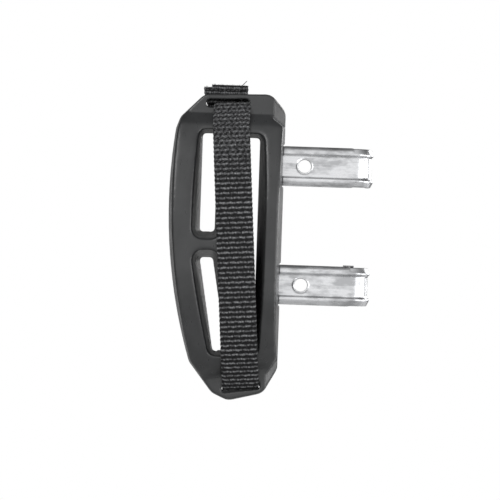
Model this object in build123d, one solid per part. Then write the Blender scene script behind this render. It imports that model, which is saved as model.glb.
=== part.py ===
from build123d import *
from math import asin, cos
import os

# Strap saddle with two hook arms. Millimetres. X points along the arms, Z up along the straight
# side of the saddle, and the front face looks along -Y. The origin is midway between the two
# round holes of the arms, on the back face of their webs.

# saddle shell
rim_y = 6.0            # back rim
face_y = -28.0         # crown of the arched face
shelf_y = -4.0         # end shelves that hold the strap slots
wall = 2.8
draft = 5.5            # degrees
corner_r = 9.0
facet_x = -23.4        # where the wide corner facets of the straight side meet the shelves
facet_back_y = 4.6
rib_back_y = 2.0       # inner walls stop short of the rim
crown_top_z = 0.0      # the face is flat between these two heights
crown_low_z = -30.0
arch_r_top = 150.0
arch_r_low = 160.0
side_x = -14.0         # straight side
top_edge_z = 68.5      # where the face ends and the ramps begin
low_edge = (-51.5, -95.5)
low_tilt = 12.6        # degrees
ramp_run_top = 8.0
ramp_run_low = 9.5
recess_floor_y = -2.4  # the lower slot narrows here to a throat

# arms
arm_z = 41.2           # half of the spacing of the two arms
steel = 2.0
arm_half = 13.8
bead_in, bead_out = 7.4, 9.6
bead_rise = 1.4
flange_back = 8.0
arm_tip_x = 46.7
hook_r = 12.0          # outside of the end bend
hook_drop = 3.0        # straight stretch between the bend and its lip
root_x = -15.5         # channel starts inside the saddle's side wall
flange_end_x = 33.5
tab_in_x = -27.6
tab_half = 13.0
hole_r = 4.5
rail_x = -21.0         # line of the arm screws
screw_dz = 8.0

# strap
web_w = 25.0
web_t = 1.7
lean = -3.92           # degrees about Y
strap_mid = (-46.0, 0.0, -15.6)
strap_gap = 0.9        # strap above the face
back_run_y = 5.85      # middle of the run behind the saddle
stitch_r = 0.35

# adjuster that slides on the run behind the saddle
adj_s = -79.4          # middle, along the strap
adj_half_s = 7.4
adj_half_x = 16.0
adj_bar = 2.2

# loose tail above the top edge
tail_x = (-58.9, -53.6)
tail_y = (7.6, 9.3)
tail_low_z, tail_hinge_z, tail_top_z = 77.2, 76.0, 96.2
tail_root_z = (62.4, 73.6)

far = 200.0


def outline():
    """Back outline of the saddle, straight on the right and bowed on the left."""
    right = [(-59.5, -118.2), (-48, -123.4), (-23.6, -117.4), (side_x, -100.1)]
    right += [(side_x, 78.7), (-24.5, 90.9), (-71, 89.7), (-87.5, 73.2)]
    bow_start, bow_mid, bow_end = (-90.4, 65), (-93.5, 5), (-76, -97)
    line = Polyline(bow_end, *right, bow_start) + ThreePointArc(bow_start, bow_mid, bow_end)
    face = make_face(line)
    return fillet(face.vertices(), corner_r)


def ramp_cut(run, drop, inset, sense):
    """Prism in front of a ramp and its shelf, from the face's end towards the saddle's end."""
    foot = (shelf_y + inset, sense * (run - 0.414 * inset))
    steep = (foot[0] - 60, foot[1] - sense * 60 * run / drop)
    outer = [foot, (foot[0], sense * far), (-far, sense * far), (-far, steep[1]), steep]
    return extrude(Plane.YZ * make_face(Polyline(*outer, close=True)), far, both=True)


def corner_facets(inset):
    """Wedges off the straight side beside both shelves, each with a slanted inner end."""
    x = facet_x - 1.4 * inset
    front_y = facet_back_y - (side_x - facet_x)
    section = Polyline((x, -60), (x, front_y), (x + facet_back_y - front_y, facet_back_y), (20, facet_back_y),
                       (20, -60), close=True)
    wedge = extrude(Plane.XY * make_face(section), far, both=True)
    top = Polyline((x, 73.5), (side_x + 2, 65), (20, 65), (20, far), (x, far), close=True)
    low = Polyline((x, -105), (side_x + 2, -88), (20, -88), (20, -far), (x, -far), close=True)
    ends = extrude(Plane.XZ * make_face(top), far, both=True)
    ends += extrude(Plane.XZ * make_face(low), far, both=True)
    return wedge & ends


def face_y_at(z):
    if z > crown_top_z:
        return face_y + arch_r_top * (1 - cos(asin((z - crown_top_z) / arch_r_top)))
    return face_y + arch_r_low * (1 - cos(asin((crown_low_z - z) / arch_r_low)))


def block(inset):
    """The moulded outside, or with an inset the hollow inside it."""
    flat = outline()
    if inset:
        flat = offset(flat, -inset, kind=Kind.INTERSECTION)
    depth = rim_y - face_y + 4
    solid = extrude(Plane.XZ.offset(-rim_y) * flat, depth, taper=draft)
    r_top, r_low = arch_r_top - inset, arch_r_low - inset
    crown = face_y + inset
    end_top, end_low = top_edge_z + 5.5, low_edge[1] - 14.5
    y_top = crown + r_top - (r_top**2 - (end_top - crown_top_z) ** 2) ** 0.5
    y_low = crown + r_low - (r_low**2 - (end_low - crown_low_z) ** 2) ** 0.5
    arch = Line((crown, crown_low_z), (crown, crown_top_z))
    arch += RadiusArc((crown, crown_top_z), (y_top, end_top), r_top)
    arch += Polyline((y_top, end_top), (y_top, far), (far, far), (far, -far), (y_low, -far), (y_low, end_low))
    arch += RadiusArc((y_low, end_low), (crown, crown_low_z), r_low)
    solid &= extrude(Plane.YZ * make_face(arch), far, both=True)
    drop_top = shelf_y - face_y_at(top_edge_z)
    solid -= Pos(0, 0, top_edge_z) * ramp_cut(ramp_run_top, drop_top, inset, 1)
    drop_low = shelf_y - face_y_at(low_edge[1])
    low_cut = ramp_cut(ramp_run_low, drop_low, inset, -1)
    solid -= Pos(low_edge[0], 0, low_edge[1]) * Rot(0, -low_tilt, 0) * low_cut
    return solid - corner_facets(inset)


def window(points, radius=1.8):
    return fillet(make_face(Polyline(*points, close=True)).vertices(), radius)


def windows():
    upper_left = [(-71, -5.9), (-61.3, -5.9), (-61.3, 61.7), (-71, 61.7)]
    lower_left = [(-59.4, -88.5), (-50.6, -88.5), (-61.9, -24.2), (-70.4, -24.2)]
    right = [(-41, -87), (-31.65, -87), (-31.65, 59.4), (-41, 59.4)]
    return [window(upper_left), window(lower_left), window(right)]


def flared(face, grow):
    """A window's opening, wider towards the front, from the inner walls' back ends."""
    if grow:
        face = offset(face, grow)
    return extrude(Plane.XZ.offset(-rib_back_y) * face, 34, taper=-10.5)


def slot(length, height, x, z, tilt, y, depth):
    place = Pos(x, y, z) * Rot(0, -tilt, 0)
    return place * extrude(Plane.XZ * SlotOverall(length, height), depth, both=True)


def slots(grow, y, depth):
    upper = slot(30.4 + grow, 5.5 + grow, -54.6, 83.3, 1.95, y, depth)
    lower = slot(27.6 + grow, 5.3 + grow, -39.2, -113.4, 8.5, y, depth)
    return upper + lower


def arm_places():
    return [Pos(0, 0, arm_z), Pos(0, 0, -arm_z)]


def screw_places():
    return [Pos(rail_x, 0, dz) for dz in (-screw_dz, screw_dz)]


def rod(radius, y_front, y_back, hole=0.0):
    """A round bar along Y, or a tube."""
    turned = Pos(0, (y_front + y_back) / 2, 0) * Rot(90, 0, 0)
    bar = turned * Cylinder(radius, y_back - y_front)
    if hole:
        bar -= turned * Cylinder(hole, y_back - y_front + 2)
    return bar


def bar(x0, x1, y0, y1, z0, z1):
    """An upright box between six faces."""
    return Pos((x0 + x1) / 2, (y0 + y1) / 2, (z0 + z1) / 2) * Box(x1 - x0, y1 - y0, z1 - z0)


def saddle_plate():
    outside = block(0)
    hollow = block(wall)
    shell = outside - hollow
    inner_walls = Part()
    for opening in windows():
        inner_walls += flared(opening, 2.4)
    for z in (-103, -72, -66, -15, 0, 66):
        inner_walls += bar(-95, -15, -30, rib_back_y, z - 0.9, z + 0.9)
    shell += hollow & inner_walls
    bosses = Part()
    for arm in arm_places():
        for screw in screw_places():
            bosses += arm * screw * rod(4.2, -30, -steel)
    shell += hollow & bosses
    shell += slots(5.0, shelf_y + 1.4, 2.0) & outside
    for opening in windows():
        shell -= flared(opening, 0)
    shell -= slots(0, shelf_y, 12) - bar(-60, -20, recess_floor_y, 20, -125, -100)
    shell -= slot(26.4, 3.0, -39.28, -113.65, -lean, shelf_y, 12)
    for arm in arm_places():
        notch = bar(-30, 0, -steel - bead_rise - 0.6, 20, -arm_half - 0.6, arm_half + 0.6)
        shell -= arm * (notch & bar(-16.6, 0, -20, 20, -20, 20))
        shell -= arm * bar(-28.4, -16, -steel, 20, -tab_half - 0.6, tab_half + 0.6)
        for screw in screw_places():
            shell -= arm * screw * rod(2.8, -10, 0)
    return shell


def arm_half_section():
    """Half profile of an arm in (Y, Z): web, bead, rounded shoulder and flange."""
    crest = -steel - bead_rise
    turn = arm_half - bead_out
    line = Polyline((0, 0), (-steel, 0), (-steel, bead_in), (crest, bead_in + 0.9), (crest, bead_out))
    line += RadiusArc((crest, bead_out), (crest + turn, arm_half), turn)
    line += Polyline((crest + turn, arm_half), (flange_back, arm_half),
                     (flange_back, arm_half - steel), (crest + turn, arm_half - steel))
    line += RadiusArc((crest + turn, arm_half - steel), (crest + steel, bead_out), steel - turn)
    line += Polyline((crest + steel, bead_out), (crest + steel, bead_in + 0.9), (0, bead_in), (0, 0))
    return make_face(line)


def strip_half_section():
    """The same profile without its flange, for the bent end."""
    crest = -steel - bead_rise
    front = [(-steel, 0), (-steel, bead_in), (crest, bead_in + 0.9), (crest, bead_out), (crest + 1.8, 13.4)]
    back = [(y + steel, z) for y, z in reversed(front)]
    return make_face(Polyline(*front, *back, close=True))


def hook_arm(arm):
    bend_x = arm_tip_x - hook_r
    centre_y = hook_r - steel
    channel = extrude(Plane.YZ.offset(root_x) * arm_half_section(), flange_end_x - root_x)
    slope = Polyline((flange_end_x - 9, 20), (flange_end_x + 1, -0.5), (flange_end_x + 1, 20), close=True)
    channel -= Pos(0, 0, 10.5) * extrude(Plane.XY * make_face(slope), 10)
    strip = Plane.YZ.offset(bend_x) * strip_half_section()
    channel += extrude(Plane.YZ.offset(flange_end_x - 3) * strip_half_section(), bend_x - flange_end_x + 3)
    channel += revolve(strip, Axis((bend_x, centre_y, 0), (0, 0, 1)), 90)
    turned = Pos(bend_x, centre_y, 0) * Rot(0, 0, 90) * Pos(-bend_x, -centre_y, 0) * strip
    channel += extrude(turned, hook_drop, dir=(0, 1, 0))
    lip_axis = Axis((arm_tip_x - steel - 3, centre_y + hook_drop, 0), (0, 0, 1))
    channel += revolve(Pos(0, hook_drop, 0) * turned, lip_axis, 70)
    channel += bar(tab_in_x, -10, -steel, 0, 0, tab_half)
    body = channel + mirror(channel, about=Plane.XY)
    body += rod(hole_r + 0.9, -steel - 0.7, -steel)
    body -= rod(hole_r, -10, 10)
    for screw in screw_places():
        body -= screw * rod(2.2, -10, 10)
    return arm * body


def hook_liner(arm, ear):
    """Soft pad inside the bent end. On one arm an ear of it laps over the flange."""
    bend_x, pad, half = arm_tip_x - hook_r, 1.5, 12.0
    r = hook_r - steel - 0.02
    centre = Pos(bend_x, hook_r - steel, 0)
    ring = centre * (Cylinder(r, 2 * half) - Cylinder(r - pad, 2 * half + 1))
    body = ring & bar(bend_x, far, -far, hook_r - steel, -half, half)
    body += bar(34.0, bend_x, 0.02, 0.02 + pad, -half, half)
    tip = bend_x + r
    body += bar(tip - pad, tip, hook_r - steel, hook_r - steel + hook_drop, -half, half)
    if ear:
        body += bar(34.0, 36.4, 0.8, 3, 6, 14.7)
        body += bar(29, 36.4, -0.6, 3, arm_half + 0.05, 14.7)
    return arm * body


def clamp_plate(arm):
    body = bar(-26.5, -17.2, 0, 2, -12.5, 12.5)
    for screw in screw_places():
        body -= screw * rod(2.2, -5, 5)
    return arm * fillet(body.edges().filter_by(Axis.Y).filter_by(GeomType.LINE), 1.5)


def arm_screws(arm):
    screw = rod(1.95, -8.5, 3.2) + rod(3.5, 3, 5.6)
    for turn in (0, 90):
        screw -= Rot(0, turn, 0) * bar(-2.0, 2.0, 4.3, 6, -0.5, 0.5)
    return Compound(children=[arm * place * screw for place in screw_places()])


def arm_washers(arm):
    washer = rod(3.9, 2, 3, 2.2)
    return Compound(children=[arm * place * washer for place in screw_places()])


def thread_inserts(arm):
    insert = rod(2.8, -9, -steel, 2.0)
    return Compound(children=[arm * place * insert for place in screw_places()])


# The strap's own frame: s runs up along the strap from its middle, and it leans with it.
strap_place = Pos(*strap_mid) * Rot(0, lean, 0)
mid_s = -strap_mid[2]


def ribbon(path):
    """A flat strap along a path given as (Y, s)."""
    solid = extrude(Plane.YZ * trace(path, web_t), web_w / 2, both=True)
    return strap_place * solid


def arch_point(s):
    """Middle of the strap above the arched face."""
    lift = strap_gap + web_t / 2
    top_s, low_s = crown_top_z + mid_s, crown_low_z + mid_s
    if s > top_s:
        r, reach = arch_r_top + lift, s - top_s
    else:
        r, reach = arch_r_low + lift, low_s - s
    return (face_y - lift + r - (r * r - reach * reach) ** 0.5, s)


def strap_front_run():
    top_s, low_s = crown_top_z + mid_s, crown_low_z + mid_s
    top, low = arch_point(83.5), arch_point(-75.5)
    crown = face_y - strap_gap - web_t / 2
    path = RadiusArc((crown, top_s), top, arch_r_top)
    path += Line((crown, low_s), (crown, top_s))
    path += RadiusArc(low, (crown, low_s), arch_r_low)
    return ribbon(path)


def strap_upper_turn():
    points = [arch_point(84.5), (-4.6, 98.6), (1.6, 99.8), (back_run_y, 93.5), (back_run_y, 88.2)]
    return ribbon(FilletPolyline(*points, radius=1.8))


def strap_lower_turn():
    points = [arch_point(-76.5), (-5.2, -97.0), (1.6, -99.35), (back_run_y, -92.5), (back_run_y, -87.2)]
    return ribbon(FilletPolyline(*points, radius=1.8))


def strap_back_run():
    return ribbon(Line((back_run_y, -87.0), (back_run_y, 88.0)))


def tail_layer(x, y, z0, z1):
    return bar(x - web_w / 2, x + web_w / 2, y - web_t / 2, y + web_t / 2, z0, z1)


def strap_tail_root():
    layers = [tail_layer(x, y, *tail_root_z) for x, y in zip(tail_x, tail_y)]
    return layers[0] + layers[1]


def stitch(x, y, z, length):
    return Pos(x, y, z) * Rot(0, 90, 0) * Cylinder(stitch_r, length)


def bar_tack_stitches():
    back = tail_y[1] + web_t / 2 + stitch_r
    rows = [63.6 + 1.2 * k for k in range(8)]
    return Compound(children=[stitch(-53.5, back, z, 14) for z in rows])


def tail_hem_stitches():
    back = tail_y[1] + web_t / 2 + stitch_r
    front = tail_y[0] - web_t / 2 - stitch_r
    steps = [2.9 * k - 10.2 for k in range(8)]
    seam = [stitch(tail_x[0] + dx, front, 93.4, 2.2) for dx in steps]
    seam += [stitch(tail_x[1] + dx, back, 93.4, 2.2) for dx in steps]
    return Compound(children=seam)


def strap_adjuster():
    """Three-bar slide: the strap passes behind the middle bar and in front of the outer two."""
    near, far_y = 2.6, back_run_y + web_t / 2 + 0.4 + adj_bar
    frame = Part()
    for side in (-1, 1):
        inner = web_w / 2 + 0.7
        x0, x1 = sorted((side * inner, side * adj_half_x))
        frame += bar(x0, x1, near, far_y, -adj_half_s, adj_half_s)
        s0, s1 = sorted((side * (adj_half_s - 2.8), side * adj_half_s))
        frame += bar(-adj_half_x, adj_half_x, far_y - adj_bar, far_y, s0, s1)
    frame += bar(-adj_half_x, adj_half_x, near, back_run_y - web_t / 2 - 0.4, -1.9, 1.9)
    corners = frame.edges().filter_by(Axis.Y).group_by(SortBy.LENGTH)[-1]
    frame = fillet(corners, 1.2)
    return strap_place * Pos(0, 0, adj_s) * frame


upper, lower = arm_places()
nodes = {
    "saddle_plate": saddle_plate(),
    "strap_front_run": strap_front_run(),
    "strap_upper_turn": strap_upper_turn(),
    "strap_lower_turn": strap_lower_turn(),
    "strap_back_run": strap_back_run(),
    "strap_tail_root": strap_tail_root(),
    "strap_tail_inner_layer": tail_layer(tail_x[0], tail_y[0], tail_low_z, tail_top_z - 0.6),
    "strap_tail_outer_layer": tail_layer(tail_x[1], tail_y[1], tail_low_z, tail_top_z),
    "bar_tack_stitches": bar_tack_stitches(),
    "tail_hem_stitches": tail_hem_stitches(),
    "strap_adjuster": strap_adjuster(),
}
for name, arm, ear in (("upper", upper, False), ("lower", lower, True)):
    nodes[name + "_hook_arm"] = hook_arm(arm)
    nodes[name + "_hook_liner"] = hook_liner(arm, ear)
    nodes[name + "_clamp_plate"] = clamp_plate(arm)
    nodes[name + "_arm_screws"] = arm_screws(arm)
    nodes[name + "_arm_washers"] = arm_washers(arm)
    nodes[name + "_thread_inserts"] = thread_inserts(arm)

os.makedirs("parts", exist_ok=True)
for name, solid in nodes.items():
    export_step(solid, "parts/" + name + ".step")
    print(name, round(solid.volume, 1))
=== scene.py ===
import math
import bpy
import numpy as np
from mathutils import Matrix, Vector


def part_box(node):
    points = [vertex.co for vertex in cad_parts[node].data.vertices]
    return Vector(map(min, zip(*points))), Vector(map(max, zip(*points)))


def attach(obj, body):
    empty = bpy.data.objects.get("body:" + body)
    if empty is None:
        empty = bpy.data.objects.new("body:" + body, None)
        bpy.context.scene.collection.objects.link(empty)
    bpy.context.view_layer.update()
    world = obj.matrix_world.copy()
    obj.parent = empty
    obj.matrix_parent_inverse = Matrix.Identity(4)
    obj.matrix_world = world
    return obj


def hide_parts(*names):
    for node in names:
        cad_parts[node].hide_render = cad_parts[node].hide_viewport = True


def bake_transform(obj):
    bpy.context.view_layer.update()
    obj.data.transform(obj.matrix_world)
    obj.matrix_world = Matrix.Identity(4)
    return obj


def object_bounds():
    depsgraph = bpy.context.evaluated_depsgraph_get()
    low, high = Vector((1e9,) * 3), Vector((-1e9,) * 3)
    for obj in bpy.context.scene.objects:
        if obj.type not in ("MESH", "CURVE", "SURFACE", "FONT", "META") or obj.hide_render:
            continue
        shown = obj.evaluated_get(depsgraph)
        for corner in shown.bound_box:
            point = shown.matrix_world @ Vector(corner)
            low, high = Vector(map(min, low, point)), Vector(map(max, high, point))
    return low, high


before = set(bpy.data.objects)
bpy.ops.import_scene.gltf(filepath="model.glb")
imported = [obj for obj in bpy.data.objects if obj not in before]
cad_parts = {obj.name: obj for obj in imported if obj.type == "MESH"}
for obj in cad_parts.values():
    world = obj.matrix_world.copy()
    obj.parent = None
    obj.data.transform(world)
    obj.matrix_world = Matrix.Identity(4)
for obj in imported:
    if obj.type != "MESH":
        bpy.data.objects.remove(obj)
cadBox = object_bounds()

mm = 0.001
scene = bpy.context.scene
print("frame loaded")


def linearColour(hexCode, alpha=1.0):
    channels = [int(hexCode[i:i + 2], 16) / 255 for i in (1, 3, 5)]
    channels = [c / 12.92 if c <= 0.04045 else ((c + 0.055) / 1.055) ** 2.4 for c in channels]
    return (*channels, alpha)


def addNode(tree, kind, inputs=None, **settings):
    node = tree.nodes.new(kind)
    for key, value in settings.items():
        setattr(node, key, value)
    for key, value in (inputs or {}).items():
        if isinstance(value, bpy.types.NodeSocket):
            tree.links.new(value, node.inputs[key])
        else:
            node.inputs[key].default_value = value
    return node


def startMaterial(name):
    material = bpy.data.materials.new(name)
    material.use_nodes = True
    tree = material.node_tree
    tree.nodes.clear()
    shader = addNode(tree, "ShaderNodeBsdfPrincipled")
    addNode(tree, "ShaderNodeOutputMaterial", {"Surface": shader.outputs[0]})
    return material, tree, shader


def mixColours(tree, factor, dark, light):
    mix = addNode(tree, "ShaderNodeMix", {0: factor}, data_type="RGBA")
    mix.inputs[6].default_value = linearColour(dark)
    mix.inputs[7].default_value = linearColour(light)
    return mix.outputs[2]


def spread(tree, value, low, high, toLow, toHigh):
    node = addNode(tree, "ShaderNodeMapRange", {0: value, 1: low, 2: high, 3: toLow, 4: toHigh})
    return node.outputs[0]


def grainPattern(tree, coords, sizeInMm, detail=3.0, stretch=(1, 1, 1)):
    placed = addNode(tree, "ShaderNodeMapping", {"Vector": coords, "Scale": stretch})
    noise = addNode(tree, "ShaderNodeTexNoise", {"Vector": placed.outputs[0], "Scale": 1000 / sizeInMm,
                                                 "Detail": detail, "Roughness": 0.55})
    return noise.outputs[0]


# glass-filled nylon, injection moulded on a spark-eroded tool: satin black that goes pale where it is
# seen at a low angle
plateFinish = {"dark": "#222324", "light": "#323334", "mottleSize": 22.0, "grainSize": 0.9, "scuffSize": 3.5,
               "roughLow": 0.27, "roughHigh": 0.42, "grainDepth": 0.05}


def mouldedNylon(name, finish):
    material, tree, shader = startMaterial(name)
    coords = addNode(tree, "ShaderNodeTexCoord").outputs["Object"]
    mottle = grainPattern(tree, coords, finish["mottleSize"])
    scuffs = grainPattern(tree, coords, finish["scuffSize"], 6.0, (1, 1, 0.25))  # rubbed lengthwise
    grain = grainPattern(tree, coords, finish["grainSize"], 2.0)
    # the colour is lighter along sharp convex edges, where pointiness is high
    convexity = addNode(tree, "ShaderNodeNewGeometry").outputs["Pointiness"]
    edge = spread(tree, convexity, 0.51, 0.58, 0.0, 0.55)
    blend = addNode(tree, "ShaderNodeMath", {0: spread(tree, mottle, 0.35, 0.65, 0.1, 0.75), 1: edge},
                    operation="MAXIMUM")
    colour = mixColours(tree, blend.outputs[0], finish["dark"], finish["light"])
    tree.links.new(colour, shader.inputs["Base Color"])
    rough = spread(tree, scuffs, 0.35, 0.7, finish["roughLow"], finish["roughHigh"])
    tree.links.new(rough, shader.inputs["Roughness"])
    shader.inputs["Specular IOR Level"].default_value = 0.7  # glass fibre near the skin
    bump = addNode(tree, "ShaderNodeBump", {"Strength": 0.35, "Distance": finish["grainDepth"] * mm,
                                            "Height": grain})
    tree.links.new(bump.outputs[0], shader.inputs["Normal"])
    return material


# pressed low-carbon sheet, bright zinc plated: grey mirror broken by rolling marks and soft dark smudges
zincFinish = {"dark": "#b7b8ba", "light": "#e4e5e7", "smudgeSize": 6.0, "rollSize": 1.6, "roughLow": 0.24,
              "roughHigh": 0.34, "rippleSize": 8.0, "rippleDepth": 0.14}


def zincPlate(name, finish):
    material, tree, shader = startMaterial(name)
    coords = addNode(tree, "ShaderNodeTexCoord").outputs["Object"]
    smudge = grainPattern(tree, coords, finish["smudgeSize"], 4.0, (0.45, 1, 1))
    rolled = grainPattern(tree, coords, finish["rollSize"], 3.0, (0.12, 1, 1))  # lines along the arm
    ripple = grainPattern(tree, coords, finish["rippleSize"], 1.0, (0.6, 1, 1))
    faint = spread(tree, rolled, 0.3, 0.7, -0.06, 0.06)
    both = addNode(tree, "ShaderNodeMath", {0: smudge, 1: faint}, operation="ADD")
    shade = spread(tree, both.outputs[0], 0.36, 0.56, 0.0, 1.0)
    tree.links.new(mixColours(tree, shade, finish["dark"], finish["light"]), shader.inputs["Base Color"])
    rough = spread(tree, rolled, 0.3, 0.7, finish["roughHigh"], finish["roughLow"])
    tree.links.new(rough, shader.inputs["Roughness"])
    bump = addNode(tree, "ShaderNodeBump", {"Strength": 0.5, "Distance": finish["rippleDepth"] * mm,
                                            "Height": ripple})
    tree.links.new(bump.outputs[0], shader.inputs["Normal"])
    shader.inputs["Metallic"].default_value = 1.0
    return material


# nylon webbing, shuttle woven, black: dull ridges of weft over gaps, with a faint sheen of filament ends. The
# grey ridge colour is a painted highlight and the dark gap colour is painted shade, mixed by weave height
webbingFinish = {"gap": "#181819", "ridge": "#9b9c9e", "yarnWidth": 0.8, "yarnDepth": 0.12,
                  "fuzzSize": 0.55, "sheen": 0.1}


def wovenNylon(name, finish):
    material, tree, shader = startMaterial(name)
    coords = addNode(tree, "ShaderNodeTexCoord").outputs["UV"]  # metres along and across the strap
    woven = addNode(tree, "ShaderNodeAttribute", attribute_name="weave").outputs["Fac"]
    raised = spread(tree, woven, 0.2, 0.8, 0.0, 1.0)
    fuzz = grainPattern(tree, coords, finish["fuzzSize"], 4.0)
    # painted highlight on the ridges, broken into specks by the fuzz; low weave gets the painted shade of the
    # gaps
    paintedRidgeHighlight = addNode(tree, "ShaderNodeMath", {0: raised, 1: spread(tree, fuzz, 0.4, 0.6, 0.15, 1.1)},
                     operation="MULTIPLY")
    colour = mixColours(tree, paintedRidgeHighlight.outputs[0], finish["gap"], finish["ridge"])
    tree.links.new(colour, shader.inputs["Base Color"])
    yarns = addNode(tree, "ShaderNodeTexWave", {"Vector": coords, "Scale": 1000 / finish["yarnWidth"] / 6.283,
                                                "Distortion": 2.0, "Detail": 2.0}, bands_direction="X")
    height = addNode(tree, "ShaderNodeMath", {0: yarns.outputs[1], 1: fuzz}, operation="ADD")
    bump = addNode(tree, "ShaderNodeBump", {"Strength": 0.6, "Distance": finish["yarnDepth"] * mm,
                                            "Height": height.outputs[0]})
    tree.links.new(bump.outputs[0], shader.inputs["Normal"])
    shader.inputs["Roughness"].default_value = 0.75
    shader.inputs["Specular IOR Level"].default_value = 0.15
    shader.inputs["Sheen Weight"].default_value = finish["sheen"]
    shader.inputs["Sheen Roughness"].default_value = 0.4
    return material


# bonded polyester thread: twisted, slightly shiny black
threadFinish = {"dark": "#1c1c1d", "light": "#4a4a4b", "twistSize": 0.5, "roughness": 0.5}


def twistedThread(name, finish):
    material, tree, shader = startMaterial(name)
    coords = addNode(tree, "ShaderNodeTexCoord").outputs["Object"]
    twist = grainPattern(tree, coords, finish["twistSize"], 2.0)
    tree.links.new(mixColours(tree, spread(tree, twist, 0.35, 0.65, 0, 1), finish["dark"], finish["light"]),
                   shader.inputs["Base Color"])
    bump = addNode(tree, "ShaderNodeBump", {"Strength": 0.5, "Distance": 0.05 * mm, "Height": twist})
    tree.links.new(bump.outputs[0], shader.inputs["Normal"])
    shader.inputs["Roughness"].default_value = finish["roughness"]
    return material


# pressed rubber pad: matt grey with dusty low spots
rubberFinish = {"dark": "#565657", "light": "#808081", "dustSize": 2.4, "roughness": 0.75}
# turned brass: warm, with fine tool rings
brassFinish = {"dark": "#a8863e", "light": "#d8bb6c", "dustSize": 0.6, "roughness": 0.3}


def plainGrained(name, finish, metallic):
    material, tree, shader = startMaterial(name)
    coords = addNode(tree, "ShaderNodeTexCoord").outputs["Object"]
    dust = grainPattern(tree, coords, finish["dustSize"], 4.0)
    tree.links.new(mixColours(tree, spread(tree, dust, 0.3, 0.7, 0, 1), finish["dark"], finish["light"]),
                   shader.inputs["Base Color"])
    bump = addNode(tree, "ShaderNodeBump", {"Strength": 0.3, "Distance": 0.06 * mm, "Height": dust})
    tree.links.new(bump.outputs[0], shader.inputs["Normal"])
    shader.inputs["Roughness"].default_value = finish["roughness"]
    shader.inputs["Metallic"].default_value = metallic
    return material


nylonPlate = mouldedNylon("glassFilledNylonSatin", plateFinish)
slideFinish = dict(plateFinish, dark="#1b1c1d", light="#2a2b2c", mottleSize=9.0)
nylonSlide = mouldedNylon("acetalSlideBlack", slideFinish)
zincPressing = zincPlate("zincPlatedPressing", zincFinish)
hardwareFinish = dict(zincFinish, dark="#7d7c78", light="#b4b2aa", smudgeSize=2.5)
zincHardware = zincPlate("zincPlatedHardware", hardwareFinish)
nylonWebbing = wovenNylon("nylonWebbingBlack", webbingFinish)
threadBlack = twistedThread("bondedThreadBlack", threadFinish)
rubberPad = plainGrained("pressedRubberPad", rubberFinish, 0.0)
brassInsert = plainGrained("turnedBrass", brassFinish, 1.0)
print("materials made")


def finishedPiece(piece, material, body, replaced=()):
    piece.data.materials.clear()
    piece.data.materials.append(material)
    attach(piece, body)
    if replaced:
        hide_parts(*replaced)
    return piece


def bakedMesh(piece):
    bpy.context.view_layer.update()
    return bpy.data.meshes.new_from_object(piece.evaluated_get(bpy.context.evaluated_depsgraph_get()))


def newPiece(name, mesh):
    piece = bpy.data.objects.new(name, mesh)
    scene.collection.objects.link(piece)
    return piece


# how far each piece's edges are rounded: voxel size in mm and smoothing rounds. On the saddle, everything
# in front of broadY gets more rounds, and the flat faces give up some of their triangles.
saddleRounding = {"voxel": 0.75, "rounds": 9, "broadRounds": 28, "broadY": -5.0, "keep": 0.56}
armRounding = {"voxel": 0.4, "rounds": 14}
slideRounding = {"voxel": 0.3, "rounds": 6}


def smoothing(piece, name, rounds):
    smooth = piece.modifiers.new(name, "SMOOTH")
    smooth.factor = 0.5
    smooth.iterations = rounds
    return smooth


def softened(nodeName, name, rounding):
    # a CAD piece with its sharp edges rounded over, as moulding or pressing leaves them
    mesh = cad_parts[nodeName].data.copy()
    mesh.materials.clear()
    piece = newPiece(name, mesh)
    weld = piece.modifiers.new("weld", "WELD")
    weld.merge_threshold = 0.001 * mm
    skin = piece.modifiers.new("skin", "REMESH")
    skin.mode = "VOXEL"
    skin.voxel_size = rounding["voxel"] * mm
    smoothing(piece, "calm", rounding["rounds"])
    made = bakedMesh(piece)
    piece.modifiers.clear()
    piece.data = made
    if "broadRounds" in rounding:
        coords = np.empty(len(made.vertices) * 3)
        made.vertices.foreach_get("co", coords)
        front = piece.vertex_groups.new(name="front")
        front.add(np.flatnonzero(coords[1::3] < rounding["broadY"] * mm).tolist(), 1.0, "REPLACE")
        smoothing(piece, "broad", rounding["broadRounds"]).vertex_group = "front"
        fewer = piece.modifiers.new("fewer", "DECIMATE")
        fewer.ratio = rounding["keep"]
        made = bakedMesh(piece)
        piece.modifiers.clear()
        piece.data = made
    made.polygons.foreach_set("use_smooth", [True] * len(made.polygons))
    print("softened", name, len(made.polygons))
    return piece


saddleShell = softened("saddle_plate", "saddleShell", saddleRounding)
finishedPiece(saddleShell, nylonPlate, "saddle", ["saddle_plate"])
for side in ("upper", "lower"):
    arm = softened(side + "_hook_arm", side + "HookPressing", armRounding)
    finishedPiece(arm, zincPressing, "saddle", [side + "_hook_arm"])
slide = softened("strap_adjuster", "adjusterSlide", slideRounding)
finishedPiece(slide, nylonSlide, "adjuster", ["strap_adjuster"])

for side in ("upper", "lower"):
    for suffix, material in (("_hook_liner", rubberPad), ("_clamp_plate", zincHardware),
                             ("_arm_screws", zincHardware), ("_arm_washers", zincHardware),
                             ("_thread_inserts", brassInsert)):
        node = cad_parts[side + suffix]
        node.data.materials.clear()
        node.data.materials.append(material)
print("moulded and metal pieces made")

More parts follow.
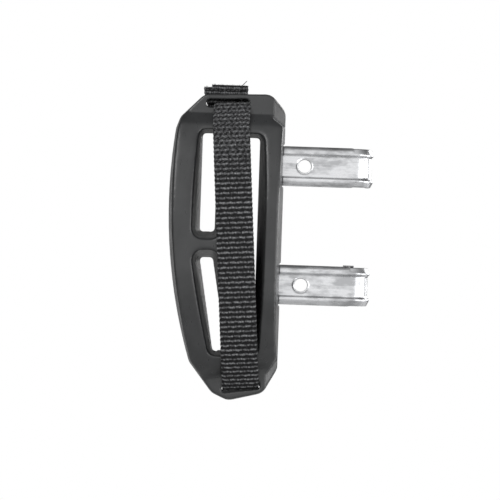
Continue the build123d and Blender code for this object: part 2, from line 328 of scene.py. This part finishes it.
# the strap: width, thickness and the pitch of its weft ridges, then the shape of its route
strap = {"width": 25.0, "thick": 1.7, "pitch": 3.4, "ridge": 0.42, "segment": 1.7, "edgeWave": 0.14,
         "step": 0.28, "frontColumns": 70, "backColumns": 26, "lean": -3.92, "middle": (-46.0, 0.0, -15.6),
         "archTop": 150.0, "archLow": 160.0, "crownTop": 15.6, "crownLow": -14.4, "backY": 5.85,
         "gap": 0.9, "edgeIn": 0.15, "selvedgeBulge": 0.35,
         # the bends through the slots, as places (Y, s), and how far the upper one shifts aside
         "upperTurn": ((-4.4, 98.3), (1.8, 99.4), (5.85, 93.5), (5.85, 84.0)), "upperAside": 1.2,
         "lowerTurn": ((-5.0, -96.7), (2.3, -101.2), (5.85, -92.5), (5.85, -83.0)),
         "upperArchEnd": 83.5, "lowerArchEnd": -75.5, "archStart": 0.6}
lean = math.radians(strap["lean"])
alongStrap = Vector((math.sin(lean), 0, math.cos(lean)))
acrossStrap = Vector((math.cos(lean), 0, -math.sin(lean)))
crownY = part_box("strap_front_run")[0].y / mm + strap["thick"] / 2


def strapPoint(y, s, aside=0.0):
    middle = Vector(strap["middle"])
    return (middle + alongStrap * s + acrossStrap * aside + Vector((0, y, 0))) * mm


def archPoint(s):
    reach = max(s - strap["crownTop"], strap["crownLow"] - s, 0.0)
    radius = strap["archTop"] if s > 0 else strap["archLow"]
    radius += strap["gap"] + strap["thick"] / 2
    return (crownY + radius - math.sqrt(radius * radius - reach * reach), s)


def cutCorners(points, times):
    for _ in range(times):
        cut = [points[0]]
        for a, b in zip(points, points[1:]):
            cut += [a.lerp(b, 0.25), a.lerp(b, 0.75)]
        points = cut + [points[-1]]
    return points


def evenSteps(points, step):
    lengths = np.cumsum([0] + [(b - a).length for a, b in zip(points, points[1:])])
    count = max(2, round(lengths[-1] / step))
    wanted = np.linspace(0, lengths[-1], count + 1)
    coords = np.array(points)
    return np.stack([np.interp(wanted, lengths, coords[:, k]) for k in range(3)], axis=1), wanted


def scrambled(value, factor):
    # a steady random number from 0 to 1 for each value
    large = np.sin(value) * factor
    return large - np.floor(large)


def weaveHeight(u, s, seed, rubbed):
    # 0 in the gaps and 1 on the ridges: each weft row is broken into short floats that start at random
    row = np.floor(s / strap["pitch"])
    phase = s / strap["pitch"] - row
    shift = scrambled(row * 12.9898 + seed * 4.1, 43758.5453)
    cell = u / strap["segment"] + shift * 1.7
    cellIndex = np.floor(cell)
    inCell = cell - cellIndex
    lift = scrambled(row * 78.233 + cellIndex * 37.719 + seed, 24634.6345)
    drift = 0.05 * np.sin(u * 0.9 + row * 1.7)
    ridge = np.exp(-((phase - 0.5 + drift) / 0.2) ** 2)
    gapBetween = 1 - 0.6 * np.exp(-(np.minimum(inCell, 1 - inCell) / 0.16) ** 2)
    rowHeight = ridge * (0.5 + 0.5 * lift) * gapBetween
    # finer crossed floats lie in the gap between the rows
    crossed = 0.5 + 0.5 * np.sin(u * 5.1 + s * 2.6 + 3 * np.sin(row * 2.3)) * np.sin(u * 2.9 - s * 4.1)
    # the raised selvedge along each edge, which the material also paints lighter as a painted highlight
    selvedge = np.exp(-((np.abs(u) - 12.0) / 0.45) ** 2) * (0.45 + 0.25 * np.sin(s * 3.7))
    fluffed = rubbed * np.clip((s - 40) / 30, 0, 1)  # the far end is rubbed until the rows blur
    filled = (0.32 + 0.3 * fluffed) * crossed ** 1.5 * (1 - ridge)
    return np.clip(np.maximum(rowHeight * (1 - 0.2 * fluffed) + filled, selvedge), 0, 1)


def webbingPiece(name, points, across, seed, endSwell=0.0, rubbed=0.0):
    spots, reach = evenSteps(points, strap["step"] * mm)
    tangent = np.gradient(spots, axis=0)
    tangent /= np.linalg.norm(tangent, axis=1, keepdims=True)
    side = np.array(across)
    outward = np.cross(tangent, side)
    outward /= np.linalg.norm(outward, axis=1, keepdims=True)
    half, thickness = strap["width"] / 2, strap["thick"]
    front, back = strap["frontColumns"], strap["backColumns"]
    u = np.concatenate([np.linspace(-1, 1, front), [1.0], np.linspace(1, -1, back), [-1.0]])
    face = np.concatenate([np.ones(front), [0.0], -np.ones(back), [0.0]])
    s = reach[:, None] / mm
    toEnd = (reach[-1] - reach)[:, None] / mm
    swell = 1 + endSwell * np.exp(-(toEnd / 2.2) ** 2)
    weave = weaveHeight(u[None, :] * half, s, seed, rubbed)
    wave = strap["edgeWave"] * np.sin(2 * np.pi * s / strap["pitch"])
    edge = 1 - np.abs(u)[None, :] ** 14 * 0.75  # thinner selvedge
    rise = face[None, :] * (thickness / 2 - strap["ridge"] / 2 + strap["ridge"] * weave) * edge * swell
    sideways = u[None, :] * (half - strap["edgeIn"] + wave * np.abs(u)[None, :] ** 6)
    sideways = sideways + (face == 0)[None, :] * u[None, :] * strap["selvedgeBulge"]
    coords = spots[:, None, :] + side[None, None, :] * sideways[..., None] * mm
    coords = coords + outward[:, None, :] * rise[..., None] * mm
    rows, columns = coords.shape[:2]
    index = np.arange(rows * columns).reshape(rows, columns)
    nextColumn = np.roll(index, -1, axis=1)
    quads = np.stack([index[:-1], nextColumn[:-1], nextColumn[1:], index[1:]], axis=-1).reshape(-1, 4)
    faces = quads.tolist() + [index[0][::-1].tolist(), index[-1].tolist()]
    mesh = bpy.data.meshes.new(name)
    mesh.from_pydata(coords.reshape(-1, 3).tolist(), [], faces)
    mesh.update()
    # the weave height goes to the material, which paints the ridges lighter as painted highlight and the gaps
    # darker as painted shade
    weaveForPaintedLight = mesh.attributes.new("weave", "FLOAT", "POINT")
    weaveForPaintedLight.data.foreach_set("value", weave.reshape(-1).astype(np.float32))
    flat = np.stack([np.broadcast_to(part * mm, weave.shape) for part in (sideways, s)], axis=-1)
    corners = np.empty(len(mesh.loops), dtype=np.int32)
    mesh.loops.foreach_get("vertex_index", corners)
    uvMap = mesh.uv_layers.new(name="along")
    uvMap.data.foreach_set("uv", flat.reshape(-1, 2)[corners].reshape(-1).astype(np.float32))
    mesh.polygons.foreach_set("use_smooth", [True] * len(mesh.polygons))
    mesh.materials.append(nylonWebbing)
    print("webbing", name, len(faces))
    return newPiece(name, mesh)


upperArch = [strapPoint(*archPoint(s)) for s in np.linspace(strap["archStart"], strap["upperArchEnd"], 30)]
upperTurn = [strapPoint(y, s, strap["upperAside"]) for y, s in strap["upperTurn"]]
lowerArch = [strapPoint(*archPoint(s)) for s in np.linspace(strap["archStart"], strap["lowerArchEnd"], 28)]
lowerTurn = [strapPoint(y, s) for y, s in strap["lowerTurn"]]

upperStrap = webbingPiece("webbingUpperHalf", upperArch[:-1] + cutCorners([upperArch[-1]] + upperTurn, 3),
                          acrossStrap, 1.0, rubbed=1.0)
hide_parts("strap_front_run", "strap_upper_turn")
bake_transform(upperStrap)
lowerStrap = webbingPiece("webbingLowerHalf", lowerArch[:-1] + cutCorners([lowerArch[-1]] + lowerTurn, 3),
                          -acrossStrap, 2.0)
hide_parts("strap_lower_turn")
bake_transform(lowerStrap)

backStrap = webbingPiece("webbingBackRun", [strapPoint(strap["backY"], s) for s in (-83.5, 84.5)],
                         -acrossStrap, 3.0)
finishedPiece(backStrap, nylonWebbing, "saddle", ["strap_back_run"])

# the loose tail: two layers, side-shifted, sewn to the run behind and free above the top edge
tail = {"innerX": -58.9, "outerX": -53.6, "innerY": 7.6, "outerY": 9.3, "rootZ": 62.4, "hingeZ": 76.0,
        "innerTop": 94.6, "outerTop": 96.4, "innerSkew": 3.2, "outerSkew": 2.6,
        "skewFades": ((80.5, 0.9), (86.0, 0.45), (91.0, 0.0)), "endSwell": 0.35}
for word, seed in (("inner", 4.0), ("outer", 5.0)):
    x, y, top = tail[word + "X"], tail[word + "Y"], tail[word + "Top"]
    skewed = ((tail["rootZ"], 1.0), (tail["hingeZ"], 1.0), *tail["skewFades"], (top, 0.0))
    points = [Vector((x + tail[word + "Skew"] * share, y, z)) * mm for z, share in skewed]
    layer = webbingPiece("tail" + word.capitalize(), points, Vector((-1, 0, 0)), seed,
                         endSwell=tail["endSwell"])
    replaced = ["strap_tail_" + word + "_layer"] + (["strap_tail_root"] if word == "inner" else [])
    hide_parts(*replaced)
    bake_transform(layer)
print("webbing made")


def newGeometryTree(name, sizes):
    tree = bpy.data.node_groups.new(name, "GeometryNodeTree")
    for label, value in sizes.items():
        kind = "NodeSocketInt" if isinstance(value, int) else "NodeSocketFloat"
        tree.interface.new_socket(label, in_out="INPUT", socket_type=kind)
    tree.interface.new_socket("Geometry", in_out="OUTPUT", socket_type="NodeSocketGeometry")
    inputs = addNode(tree, "NodeGroupInput")
    return tree, inputs.outputs


def runTree(name, tree, sizes, place):
    piece = newPiece(name, bpy.data.meshes.new(name + "Seed"))
    modifier = piece.modifiers.new("build", "NODES")
    modifier.node_group = tree
    for item in tree.interface.items_tree:
        if item.in_out == "INPUT":
            modifier[item.identifier] = sizes[item.name]
    made = bakedMesh(piece)
    piece.modifiers.clear()
    made.transform(place)
    piece.data = made
    made.polygons.foreach_set("use_smooth", [True] * len(made.polygons))
    print("geometry nodes", name, len(made.polygons))
    return piece


def stitchTree(name, sizes):
    # a row of short thread stitches: round bars with rounded ends, slightly uneven
    tree, sized = newGeometryTree(name, sizes)
    line = addNode(tree, "GeometryNodeMeshLine", {"Count": sized["Count"]}, mode="OFFSET")
    offset = addNode(tree, "ShaderNodeCombineXYZ", {"X": sized["StepX"], "Z": sized["StepZ"]})
    tree.links.new(offset.outputs[0], line.inputs["Offset"])
    rod = addNode(tree, "GeometryNodeMeshUVSphere", {"Segments": 10, "Rings": 8, "Radius": 1.0})
    size = addNode(tree, "ShaderNodeCombineXYZ", {"X": sized["Length"], "Y": sized["Radius"],
                                                  "Z": sized["Radius"]})
    shaped = addNode(tree, "GeometryNodeTransform", {"Geometry": rod.outputs[0], "Scale": size.outputs[0]})
    turned = addNode(tree, "FunctionNodeRandomValue", {"Seed": sized["Seed"]}, data_type="FLOAT_VECTOR")
    turned.inputs[0].default_value = (-0.06, -0.12, -0.06)
    turned.inputs[1].default_value = (0.06, 0.12, 0.06)
    laid = addNode(tree, "GeometryNodeInstanceOnPoints", {
        "Points": line.outputs[0], "Instance": shaped.outputs[0], "Rotation": turned.outputs[0]})
    real = addNode(tree, "GeometryNodeRealizeInstances", {"Geometry": laid.outputs[0]})
    done = addNode(tree, "GeometryNodeSetMaterial", {"Geometry": real.outputs[0], "Material": threadBlack})
    addNode(tree, "NodeGroupOutput", {"Geometry": done.outputs[0]})
    return tree


tackSizes = {"Count": 8, "StepX": 0.0, "StepZ": 1.2 * mm, "Length": 7.4 * mm, "Radius": 0.42 * mm, "Seed": 7}
barTackTree = stitchTree("barTackRows", tackSizes)
tackAt = Matrix.Translation(Vector((-53.5, tail["outerY"] + strap["thick"] / 2 + 0.1, 63.6)) * mm)
barTack = runTree("barTackSewing", barTackTree, tackSizes, tackAt)
finishedPiece(barTack, threadBlack, "saddle", ["bar_tack_stitches"])

hemSizes = dict(tackSizes, Count=8, StepX=2.9 * mm, StepZ=0.0, Length=1.15 * mm, Seed=11)
hemTree = stitchTree("hemRow", hemSizes)
seam = {"halfRun": 10.2, "proud": strap["thick"] / 2 + 0.1, "frontZ": 92.6, "backZ": 93.4}
frontAt = Vector((tail["innerX"] - seam["halfRun"], tail["innerY"] - seam["proud"], seam["frontZ"]))
backAt = Vector((tail["outerX"] - seam["halfRun"], tail["outerY"] + seam["proud"], seam["backZ"]))
hemFront = Matrix.Translation(frontAt * mm)
hemBack = Matrix.Translation(backAt * mm)
hem = runTree("hemSewingFront", hemTree, hemSizes, hemFront)
finishedPiece(hem, threadBlack, "tail", ["tail_hem_stitches"])
finishedPiece(runTree("hemSewingBack", hemTree, hemSizes, hemBack), threadBlack, "tail")


def frayTree(name, sizes):
    # cut filaments that stand up along the end of the tail
    tree, sized = newGeometryTree(name, sizes)
    line = addNode(tree, "GeometryNodeMeshLine", {"Count": sized["Count"]}, mode="OFFSET")
    offset = addNode(tree, "ShaderNodeCombineXYZ", {"X": sized["Step"]})
    tree.links.new(offset.outputs[0], line.inputs["Offset"])
    jitter = addNode(tree, "FunctionNodeRandomValue", {"Seed": sized["Seed"]}, data_type="FLOAT_VECTOR")
    jitter.inputs[0].default_value = (-0.0004, -0.0007, -0.0006)
    jitter.inputs[1].default_value = (0.0004, 0.0007, 0.0001)
    moved = addNode(tree, "GeometryNodeSetPosition", {"Geometry": line.outputs[0],
                                                      "Offset": jitter.outputs[0]})
    hair = addNode(tree, "GeometryNodeMeshCone", {"Vertices": 5, "Radius Top": 0.2, "Radius Bottom": 1.0,
                                                  "Depth": 1.0})
    size = addNode(tree, "ShaderNodeCombineXYZ", {"X": sized["Radius"], "Y": sized["Radius"],
                                                  "Z": sized["Length"]})
    shaped = addNode(tree, "GeometryNodeTransform", {"Geometry": hair.outputs[0], "Scale": size.outputs[0]})
    lean = addNode(tree, "FunctionNodeRandomValue", {"Seed": sized["Seed"]}, data_type="FLOAT_VECTOR")
    lean.inputs[0].default_value = (-0.7, -1.1, 0)
    lean.inputs[1].default_value = (0.7, 1.1, 3)
    grown = addNode(tree, "FunctionNodeRandomValue", {"Seed": sized["Seed"]}, data_type="FLOAT")
    grown.inputs[2].default_value = 0.35
    grown.inputs[3].default_value = 1.0
    laid = addNode(tree, "GeometryNodeInstanceOnPoints", {
        "Points": moved.outputs[0], "Instance": shaped.outputs[0], "Rotation": lean.outputs[0],
        "Scale": grown.outputs[1]})
    real = addNode(tree, "GeometryNodeRealizeInstances", {"Geometry": laid.outputs[0]})
    done = addNode(tree, "GeometryNodeSetMaterial", {"Geometry": real.outputs[0], "Material": threadBlack})
    addNode(tree, "NodeGroupOutput", {"Geometry": done.outputs[0]})
    return tree


fraySizes = {"Count": 80, "Step": 0.31 * mm, "Length": 1.2 * mm, "Radius": 0.12 * mm, "Seed": 3}
frayNodes = frayTree("cutFilaments", fraySizes)
for word in ("inner", "outer"):
    corner = Vector((tail[word + "X"] - 12.3, tail[word + "Y"], tail[word + "Top"])) * mm
    fray = runTree("fray" + word.capitalize(), frayNodes, fraySizes, Matrix.Translation(corner))
    finishedPiece(fray, threadBlack, "tail")


def pulledThread():
    # one filament pulled loose at the right-hand end of the cut edge
    route = [(-46.4, 8.4, 95.6), (-44.9, 8.2, 96.6), (-43.6, 7.9, 98.0), (-42.0, 7.7, 99.6)]
    curve = bpy.data.curves.new("pulledThread", "CURVE")
    curve.dimensions = "3D"
    curve.bevel_depth = 0.24 * mm
    curve.bevel_resolution = 2
    curve.use_fill_caps = True
    spline = curve.splines.new("NURBS")
    spline.points.add(len(route) - 1)
    for point, place in zip(spline.points, route):
        point.co = (*(Vector(place) * mm), 1)
    spline.order_u = 3
    spline.use_endpoint_u = True
    made = bakedMesh(newPiece("pulledThreadRoute", curve))
    bpy.data.objects.remove(bpy.data.objects["pulledThreadRoute"])
    return newPiece("pulledThread", made)


finishedPiece(pulledThread(), threadBlack, "tail")
print("sewing made")

# camera square on to the face, turned a little so that the saddle leans right; soft white studio
view = {"lens": 200.0, "width": 345.3, "focusX": -35.9, "focusZ": -18.0, "focusY": -10.0, "roll": 1.95}
camera = bpy.data.objects.new("camera", bpy.data.cameras.new("camera"))
camera.data.lens = view["lens"]
camera.data.clip_end = 20
distance = view["lens"] / camera.data.sensor_width * view["width"]
roll = math.radians(view["roll"])
spot = Matrix.Translation(Vector((view["focusX"], view["focusY"] - distance, view["focusZ"])) * mm)
camera.matrix_world = spot @ Matrix.Rotation(-roll, 4, "Y") @ Matrix.Rotation(math.radians(90), 4, "X")
scene.collection.objects.link(camera)
scene.camera = camera
scene.view_settings.view_transform = "Standard"

world = bpy.data.worlds.new("studio")
scene.world = world
world.use_nodes = True
world.node_tree.nodes.clear()
tree = world.node_tree
direction = addNode(tree, "ShaderNodeTexCoord").outputs["Generated"]
facing = addNode(tree, "ShaderNodeSeparateXYZ", {0: direction}).outputs["Y"]
ramp = addNode(tree, "ShaderNodeValToRGB", {0: spread(tree, facing, -1.0, 1.0, 0.0, 1.0)})
# brightness from straight in front of the face, 0, to straight behind it, 1
stops = [(0.0, 1.0), (0.12, 0.85), (0.3, 0.32), (0.5, 0.17), (0.93, 0.14), (0.972, 0.15), (0.99, 0.65),
         (1.0, 1.0)]
while len(ramp.color_ramp.elements) < len(stops):
    ramp.color_ramp.elements.new(0.5)
for element, (position, value) in zip(ramp.color_ramp.elements, stops):
    element.position = position
    element.color = (value, value, value, 1)
seen = addNode(tree, "ShaderNodeLightPath").outputs["Is Camera Ray"]
lighting = addNode(tree, "ShaderNodeBackground", {"Color": ramp.outputs[0], "Strength": 1.0})
backdrop = addNode(tree, "ShaderNodeBackground", {"Color": (1, 1, 1, 1), "Strength": 1.0})
mixed = addNode(tree, "ShaderNodeMixShader", {0: seen, 1: lighting.outputs[0], 2: backdrop.outputs[0]})
addNode(tree, "ShaderNodeOutputWorld", {"Surface": mixed.outputs[0]})

lamps = {"keyLeft": ((-0.9, -1.1, 0.9), 0.9, 9.0), "fillRight": ((1.1, -0.9, 0.1), 0.8, 4.0),
         "rimRight": ((0.9, 0.9, 0.3), 0.7, 6.0), "sideRight": ((1.3, -0.05, -0.1), 0.7, 5.0)}
for name, (place, size, power) in lamps.items():
    lamp = bpy.data.objects.new(name, bpy.data.lights.new(name, "AREA"))
    lamp.data.size = size
    lamp.data.energy = power
    lamp.location = place
    lamp.rotation_euler = (Vector(place) * -1).to_track_quat("-Z", "Y").to_euler()
    scene.collection.objects.link(lamp)

floorZ = cadBox[0][2] - 137 * mm
floorMesh = bpy.data.meshes.new("floor")
floorCorners = [(x, y, floorZ) for x, y in ((-0.8, -0.8), (0.8, -0.8), (0.8, 0.6), (-0.8, 0.6))]
floorMesh.from_pydata(floorCorners, [], [(0, 1, 2, 3)])
floor = newPiece("floor", floorMesh)
floorPaint, _, floorShader = startMaterial("paleFloor")
floorShader.inputs["Base Color"].default_value = linearColour("#e6e6e6")
floorShader.inputs["Roughness"].default_value = 0.8
floorMesh.materials.append(floorPaint)
print("camera and lights made")
